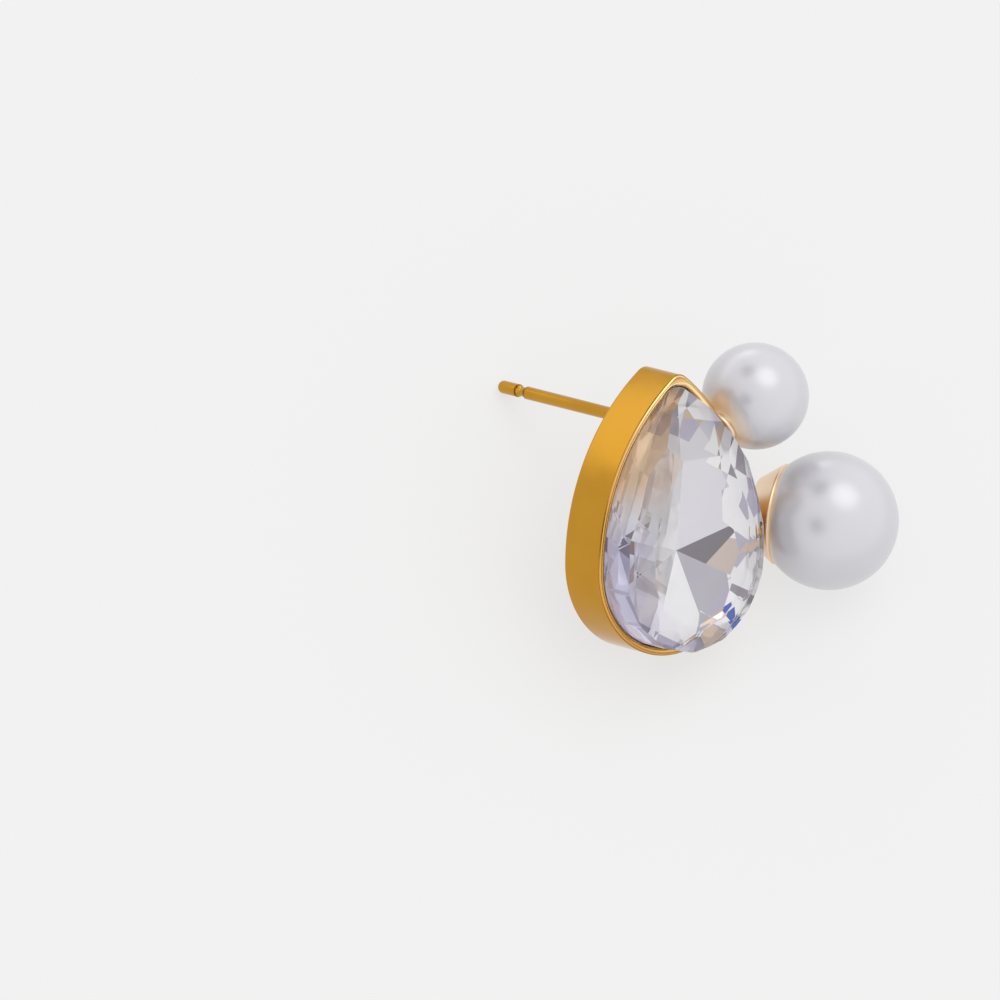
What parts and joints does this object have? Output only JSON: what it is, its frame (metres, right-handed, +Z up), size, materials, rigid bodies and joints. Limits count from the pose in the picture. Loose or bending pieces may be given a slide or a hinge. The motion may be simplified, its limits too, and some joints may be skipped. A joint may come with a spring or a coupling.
{
  "type": "pearl stud earring",
  "caption": "Stud earring for one ear: a pear-cut clear crystal in a gold-tone cup, a large and a small pearl beside it, and a straight grooved ear post behind.",
  "frame": {"origin": "Middle of the earring's box at table level, with the earring lying as it rests by itself", "axes": "+Z up from the table; the post runs back along +Y and down to the table, and the crystal faces -Y and up; the pearls are on the +X side"},
  "size_m": [0.0178, 0.0222, 0.012],
  "materials": {
    "gold_plate": "polished gold plating on brass",
    "cut_crystal": "clear cut crystal with a silvered back",
    "pearl": "soft nacre lustre on an imitation pearl"
  },
  "bodies": {
    "root": {"setting": "gold_plate", "crystal": "cut_crystal", "pearl_large": "pearl", "pearl_small": "pearl"}
  },
  "joints": []
}
